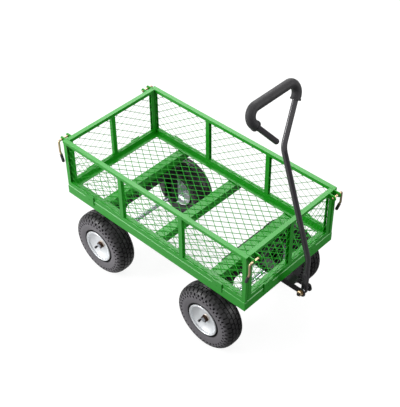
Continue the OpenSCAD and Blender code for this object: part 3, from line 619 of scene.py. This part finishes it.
def strand_mesh(length, width, settings, diamond_width):
    """Expanded metal over length by width about the origin, in the XY plane: one ribbon for each
    row of strands. A ribbon is a slanted rectangle carried along its strand line."""
    pitch, bond = settings.diamond_length, settings.bond_length
    strand, thick = settings.strand_width, settings.strand_thickness
    knots = np.arange(-ceil(length / pitch) - 1, ceil(length / pitch) + 2) * pitch / 2
    stops = np.unique(np.concatenate([knots - bond / 2, knots + bond / 2]))
    inner = stops[np.abs(stops) < length / 2 - bond / 4]
    stops = np.concatenate([[-length / 2], inner, [length / 2]])
    slant = settings.strand_tilt
    corner = np.array([(-strand, -thick), (strand, -thick), (strand, thick), (-strand, thick)]) / 2
    across = corner[:, 0] * cos(slant) - corner[:, 1] * sin(slant)
    up = corner[:, 0] * sin(slant) + corner[:, 1] * cos(slant)
    half_rows = int((width / 2 - strand + diamond_width / 4) // (diamond_width / 2))
    points, faces = [], []
    for row in range(-half_rows, half_rows + 1):
        line = strand_line(stops, row, pitch, diamond_width, strand * cos(slant), bond)
        line = np.clip(line, -width / 2 + strand, width / 2 - strand)
        ring = np.empty((len(stops), 4, 3))
        ring[..., 0] = stops[:, None]
        ring[..., 1] = line[:, None] + across
        ring[..., 2] = up
        start = 4 * len(stops) * len(points)
        points.append(ring.reshape(-1, 3))
        faces += grid_faces(len(stops), 4, loop_columns=True, start=start).tolist()
        last = start + 4 * (len(stops) - 1)
        faces += [[start, start + 1, start + 2, start + 3], [last + 3, last + 2, last + 1, last]]
    return np.concatenate(points), faces


def make_sheet(context, name, diamond_width, setback=0.0):
    """Replaces a CAD sheet by its strands, laid into the sheet's own box or set back outwards."""
    low, high, middle = node_box(name)
    size = high - low
    flat = int(np.argmin(size))
    middle[flat] += setback * np.sign(middle[flat])
    length, width = np.delete(size, flat)
    points, faces = strand_mesh(length, width, context.scene.cart_sheet, diamond_width)
    points = points @ np.array(SHEET_AXES[flat]) + middle
    piece = make_piece(name + "_strands", points, faces, name, smooth=False)
    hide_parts(name)
    return piece


class CART_OT_floor_sheet(bpy.types.Operator):
    """Lays the expanded metal of the floor"""

    bl_idname = "cart.floor_sheet"
    bl_label = "Floor sheet"

    def execute(self, context):
        make_sheet(context, "floor_mesh", context.scene.cart_sheet.floor_diamond_width)
        return {"FINISHED"}


class CART_OT_panel_sheets(bpy.types.Operator):
    """Hangs the expanded metal of the four panels, and closes their frames on the inside"""

    bl_idname = "cart.panel_sheets"
    bl_label = "Panel sheets"

    def execute(self, context):
        settings = context.scene.cart_sheet
        width, setback = settings.panel_diamond_width, settings.setback
        for side in PANELS:
            make_sheet(context, side + "_panel_mesh", width, setback)
            make_inner_walls(settings, side)
        return {"FINISHED"}


def slabs(lows, highs):
    """Boxes between pairs of corners, as one mesh's points and outward faces."""
    corner = np.array([(i, j, k) for i in (0, 1) for j in (0, 1) for k in (0, 1)])
    points = np.where(corner[None], np.array(highs)[:, None], np.array(lows)[:, None])
    quads = np.array([
        (0, 1, 3, 2), (4, 6, 7, 5), (0, 4, 5, 1), (2, 3, 7, 6), (0, 2, 6, 4), (1, 5, 7, 3),
    ])
    first = 8 * np.arange(len(points))[:, None, None]
    return points.reshape(-1, 3), (quads[None] + first).reshape(-1, 4)


def make_inner_walls(settings, side):
    """The walls that close a panel's angles into tubes towards the load: one along the top, one
    along the bottom, and one on each post and upright between them."""
    low, high, middle = node_box(side + "_panel_mesh")
    along = 0 if side in ("left", "right") else 1
    top, bottom = high[2] - settings.lip_height, low[2] + settings.bottom_lap
    near, far = low[along], high[along]
    spans = [
        (near, far, top, high[2]),
        (near, far, bottom - settings.bottom_height, bottom),
        (near, near + settings.post_width, bottom, top),
        (far - settings.post_width, far, bottom, top),
    ]
    # a long panel's uprights stand a sixth of the deck to either side of its middle, and an end
    # panel has one in its middle
    sixth = DECK_LENGTH / 6
    for place in (-sixth, sixth) if along == 0 else (0,):
        start = middle[along] + place - settings.upright_width / 2
        spans.append((start, start + settings.upright_width, bottom, top))
    lows, highs = [], []
    for start, end, under, over in spans:
        first, last = low.copy(), high.copy()
        first[along], last[along], first[2], last[2] = start, end, under, over
        lows.append(first)
        highs.append(last)
    points, faces = slabs(lows, highs)
    frame_node = side + "_panel_frame"
    piece = make_piece(side + "_panel_inner_walls", points, faces, frame_node, smooth=False)
    edge = piece.modifiers.new("edges", "BEVEL")
    edge.width, edge.segments = settings.wall_rounding, 2
    return piece


# ------------------------------------------------------------------ tyres


class CART_OT_tyres(bpy.types.Operator):
    """Moulds the four tyres with their tread blocks"""

    bl_idname = "cart.tyres"
    bl_label = "Tyres"

    def execute(self, context):
        for end, side in CORNERS:
            make_tyre(context.scene.cart_tyre, f"{end}_{side}")
        return {"FINISHED"}


def tyre_section(settings, outer, half_width, lip):
    """The mould line of one half, from the middle of the crown to the toe of the bead, as radius,
    distance along the axle and way along the surface. The crown is the upper half of the rounded
    square |x|^n + |y|^n = 1. The flank falls from the widest place as the square of the way down,
    as far as the groove beside the rim's lip, whose floor rises to the flange."""
    seat = lip - settings.flange_height
    middle = (outer + seat) / 2
    samples, crown_stations, flank_stations = 3000, 26, 12
    angle = np.linspace(0, pi / 2, samples)
    radius = middle + (outer - middle) * np.cos(angle) ** (2 / settings.squareness)
    axial = half_width * np.sin(angle) ** (2 / settings.squareness)
    way = np.concatenate([[0], np.cumsum(np.hypot(np.diff(radius), np.diff(axial)))])
    edges, lean = np.concatenate([settings.row_starts[1:], settings.row_ends]), settings.wall / 2
    evenly = np.linspace(0, way[-1], crown_stations)
    stops = np.sort(np.concatenate([evenly, edges - lean, edges + lean]))
    radius, axial = np.interp(stops, way, radius), np.interp(stops, way, axial)
    down = np.linspace(0, 1, flank_stations)[1:]
    brink = lip + settings.rim_groove_width
    flank = half_width - settings.flank_fall * down**2
    floor = flank[-1] - settings.rim_groove_depth
    flange = half_width - settings.flange_setback
    # four points round the brink down to the floor, then four round the flange and the bead
    bead = settings.bead_width
    radius = np.concatenate([
        radius, middle - (middle - brink) * down, brink - np.array([0.5, 1.0, 1.8, 4.5]) * MM,
        [lip, seat, seat, seat + bead],
    ])
    axial = np.concatenate([
        axial, flank, [flank[-1] - 0.6 * MM, flank[-1] - 2 * MM, floor, floor],
        [flange, flange, flange - bead, flange - bead],
    ])
    beyond_crown = stops[-1] + np.arange(1, len(radius) - len(stops) + 1) * MM
    return radius, axial, np.concatenate([stops, beyond_crown])


def make_tyre(settings, corner):
    """A tyre: its section carried round the axle, pressed in along its own normal where the mould
    has a groove. Cross grooves of even rows stand at the start of a pitch and those of odd rows
    halfway along, and two grooves a side run round the tyre between the inner rows."""
    low, high, middle = node_box(corner + "_tyre")
    rim_low, rim_high, _ = node_box(corner + "_rim")
    outer, half_width = (high[2] - low[2]) / 2, (high[1] - low[1]) / 2
    lip = (rim_high[2] - rim_low[2]) / 2
    radius, axial, way = tyre_section(settings, outer, half_width, lip)
    radius = np.concatenate([radius[:0:-1], radius])
    axial = np.concatenate([-axial[:0:-1], axial])
    way = np.concatenate([way[:0:-1], way])
    inwards_r, inwards_a = -np.gradient(axial), np.gradient(radius)
    size = np.hypot(inwards_r, inwards_a)
    inwards_r, inwards_a = inwards_r / size, inwards_a / size
    rows = (settings.row_starts, settings.row_ends, settings.row_depths, settings.row_grooves)
    starts, ends, depths, widths = (np.array(row) for row in rows)
    # how deep a cross groove is at each place across, for the even rows and for the odd rows, and
    # half its width there, which runs on evenly from row to row
    within = (way > starts[:, None]) & (way < ends[:, None])
    within[0] = way < ends[0]
    depth = [(within[odd::2] * depths[odd::2, None]).sum(0) for odd in (0, 1)]
    half = [np.interp(way, (starts + ends)[odd::2] / 2, widths[odd::2]) / 2 for odd in (0, 1)]
    between = (way > ends[:2, None]) & (way < starts[1:3, None])
    rings = between.any(0) * settings.ring_depth
    pitches, stations = settings.block_pitches, len(STATION_PHASE)
    phase, aside, lean = (
        np.array(row)[:, None] for row in (STATION_PHASE, STATION_SIDE, STATION_DRAFT)
    )
    halves = np.repeat(half, stations // 2, axis=0)
    turn = (np.arange(pitches)[:, None, None] + phase) * 2 * pi / pitches
    turn = turn + (aside * halves + lean * settings.wall) / radius
    # the floor of each groove lies between the two stations inside its walls
    cross = np.zeros((stations, len(radius)))
    cross[1:3], cross[6:8] = depth
    cut = np.maximum(cross, rings)
    r = radius + inwards_r * cut
    a = np.broadcast_to(axial + inwards_a * cut, turn.shape)
    points = middle + np.stack([r * np.cos(turn), a, r * np.sin(turn)], -1)
    faces = grid_faces(pitches * stations, len(radius), loop_rows=True, loop_columns=True)
    # the waxy bloom covers the flank between the groove beside the rim and the tread, thins out
    # over the blocks of the shoulder, and is thinner on the side that faces the axle. This is
    # partly
    # painted shade: the groove beside the rim and every tread groove get none, the crown's blocks
    # lose it for wear and for the deck's shade on them, and the side that faces the axle lies in
    # shade
    brink, edge = lip + settings.rim_groove_width, settings.bloom_edge
    tread_wear_and_shade = settings.tread_wear_and_painted_shade * smoothstep(settings.bloom_radius, settings.bloom_reach, radius)
    bloom = smoothstep(brink - edge, brink + edge, radius) * (1 - tread_wear_and_shade)
    bloom = bloom * np.where(axial * middle[1] > 0, 1, settings.inner_bloom_painted_shade) * (cut == 0)
    piece = make_piece(
        corner + "_tyre_tread", points.reshape(-1, 3), faces, corner + "_tyre",
        sharp_angle=radians(38), bloom=np.broadcast_to(bloom, turn.shape),
    )
    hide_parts(corner + "_tyre")
    return piece


# ------------------------------------------------------------------ studio


class CART_OT_stage(bpy.types.Operator):
    """Sets up the pale floor, the soft lamps and the camera"""

    bl_idname = "cart.stage"
    bl_label = "Stage"

    def execute(self, context):
        studio = context.scene.cart_studio
        make_world(context.scene, studio.ambient)
        make_floor(studio)
        cart_middle = Vector((0, 0, 0.3))
        for name, (place, edge) in LAMPS.items():
            power = getattr(studio, name + "_power")
            add_softbox(name + "_softbox", place, cart_middle, edge, power)
        make_camera(context.scene, studio)
        context.scene.view_settings.view_transform = "Standard"
        return {"FINISHED"}


def make_world(scene, ambient):
    """A white room to the camera, to gloss and through glass, and a dim fill to everything else."""
    world = scene.world = empty_tree(bpy.data.worlds.new("studio"))
    path = add_node(world, "ShaderNodeLightPath").outputs
    seen = add_node(
        world, "ShaderNodeMath", {0: path["Is Camera Ray"], 1: path["Is Glossy Ray"]},
        operation="MAXIMUM",
    )
    seen = add_node(
        world, "ShaderNodeMath", {0: seen.outputs[0], 1: path["Is Transmission Ray"]},
        operation="MAXIMUM",
    )
    strength = add_node(
        world, "ShaderNodeMapRange", {"Value": seen.outputs[0], "To Min": ambient, "To Max": 1.0}
    ).outputs["Result"]
    white_room = {"Color": (1, 1, 1, 1), "Strength": strength}
    background = add_node(world, "ShaderNodeBackground", white_room)
    add_node(world, "ShaderNodeOutputWorld", {"Surface": background.outputs[0]})


def make_floor(studio):
    """A round pale floor under the wheels. It glows to the camera and through glass, up to white
    away from the cart, and keeps a soft shadow. Gloss sees a painted reflection on it: a glowing
    white card on the key lamp's side, where the key lamp would light the floor."""
    size, sides, drop = 30.0, 96, 0.5 * MM
    turn = np.linspace(0, 2 * pi, sides, endpoint=False)
    points = np.stack([size * np.cos(turn), size * np.sin(turn), np.full(sides, -drop)], -1)
    mesh = bpy.data.meshes.new("studio_floor")
    mesh.from_pydata(points.tolist(), [], [list(range(sides))])
    floor = bpy.data.objects.new("studio_floor", mesh)
    bpy.context.scene.collection.objects.link(floor)
    material = empty_tree(bpy.data.materials.new("studio_floor"))
    path = add_node(material, "ShaderNodeLightPath").outputs
    place = add_node(material, "ShaderNodeTexCoord").outputs["Object"]
    away = add_node(
        material, "ShaderNodeVectorMath", {0: place}, operation="LENGTH"
    ).outputs["Value"]
    rise = {"From Min": studio.glow_start, "From Max": studio.glow_end, "To Min": studio.near_glow}
    white = add_node(
        material, "ShaderNodeMapRange", {"Value": away, **rise, "To Max": 1.0}
    ).outputs["Result"]
    seen = add_node(
        material, "ShaderNodeMath", {0: path["Is Camera Ray"], 1: path["Is Transmission Ray"]},
        operation="MAXIMUM",
    )
    # painted reflection: a glow that only gloss sees, bright on the key lamp's side of the floor
    # and dark on the other
    towards_key = add_node(
        material, "ShaderNodeVectorMath", {0: place, 1: (-0.7, -0.7, 0)}, operation="DOT_PRODUCT"
    ).outputs["Value"]
    # the card's edge is soft: it comes up over 0.8 m across the cart's middle
    edge = {"From Min": -0.3, "From Max": 0.5, "To Max": studio.painted_reflection_strength}
    painted_card = add_node(
        material, "ShaderNodeMapRange", {"Value": towards_key, **edge}
    ).outputs["Result"]
    seen = add_node(
        material, "ShaderNodeMath", {0: path["Is Glossy Ray"], 1: painted_card, 2: seen.outputs[0]},
        operation="MULTIPLY_ADD",
    )
    seen = add_node(
        material, "ShaderNodeMath", {0: seen.outputs[0], 1: white}, operation="MULTIPLY"
    )
    white_glow = {"Color": (1, 1, 1, 1), "Strength": seen.outputs[0]}
    glow = add_node(material, "ShaderNodeEmission", white_glow)
    matt = add_node(material, "ShaderNodeBsdfDiffuse", {"Color": [studio.floor_colour] * 3 + [1]})
    both = add_node(material, "ShaderNodeAddShader")
    material.node_tree.links.new(glow.outputs[0], both.inputs[0])
    material.node_tree.links.new(matt.outputs[0], both.inputs[1])
    add_node(material, "ShaderNodeOutputMaterial", {"Surface": both.outputs[0]})
    mesh.materials.append(material)


def add_softbox(name, place, target, size, power):
    """A square area lamp that faces the target."""
    lamp = bpy.data.lights.new(name, "AREA")
    lamp.shape = "SQUARE"
    lamp.size = size
    lamp.energy = power
    lamp_object = bpy.data.objects.new(name, lamp)
    bpy.context.scene.collection.objects.link(lamp_object)
    lamp_object.location = place
    lamp_object.rotation_mode = "QUATERNION"
    lamp_object.rotation_quaternion = (target - Vector(place)).to_track_quat("-Z", "Y")
    return lamp_object


def make_camera(scene, studio):
    """The camera stands back from its aim along its heading, with its roll about that line."""
    camera = bpy.data.cameras.new("camera")
    camera.lens = studio.lens
    camera.sensor_width = 36
    holder = bpy.data.objects.new("camera", camera)
    scene.collection.objects.link(holder)
    a, e = studio.azimuth, studio.elevation
    back = Vector((sin(a) * cos(e), -cos(a) * cos(e), sin(e)))
    holder.rotation_mode = "QUATERNION"
    level = (-back).to_track_quat("-Z", "Y").to_matrix()
    holder.rotation_quaternion = (Matrix.Rotation(studio.roll, 3, back) @ level).to_quaternion()
    holder.location = Vector(studio.aim) + back * studio.distance
    scene.camera = holder


# ------------------------------------------------------------------ add-on


class CART_PT_panel(bpy.types.Panel):
    """Lists the steps that finish the cart"""

    bl_idname = "CART_PT_panel"
    bl_label = "Garden Cart"
    bl_space_type = "VIEW_3D"
    bl_region_type = "UI"
    bl_category = "Garden Cart"

    def draw(self, context):
        for operator in OPERATORS:
            self.layout.operator(operator.bl_idname)
        for name in SETTINGS:
            group = getattr(context.scene, name)
            box = self.layout.box()
            for key in group.bl_rna.properties.keys():
                if key not in ("rna_type", "name"):
                    box.prop(group, key)


OPERATORS = (
    CART_OT_stage, CART_OT_finishes, CART_OT_floor_sheet, CART_OT_panel_sheets, CART_OT_tyres,
)
SETTINGS = {
    "cart_sheet": CartSheetSettings,
    "cart_tyre": CartTyreSettings,
    "cart_paint": CartPaintSettings,
    "cart_studio": CartStudioSettings,
}


def register():
    for cls in (*SETTINGS.values(), *OPERATORS, CART_PT_panel):
        bpy.utils.register_class(cls)
    for name, cls in SETTINGS.items():
        setattr(bpy.types.Scene, name, bpy.props.PointerProperty(type=cls))


def unregister():
    for name in SETTINGS:
        delattr(bpy.types.Scene, name)
    for cls in (CART_PT_panel, *reversed(OPERATORS), *reversed(SETTINGS.values())):
        bpy.utils.unregister_class(cls)


def main():
    register()
    for operator in OPERATORS:
        group, name = operator.bl_idname.split(".")
        getattr(getattr(bpy.ops, group), name)()


if __name__ == "__main__":
    main()
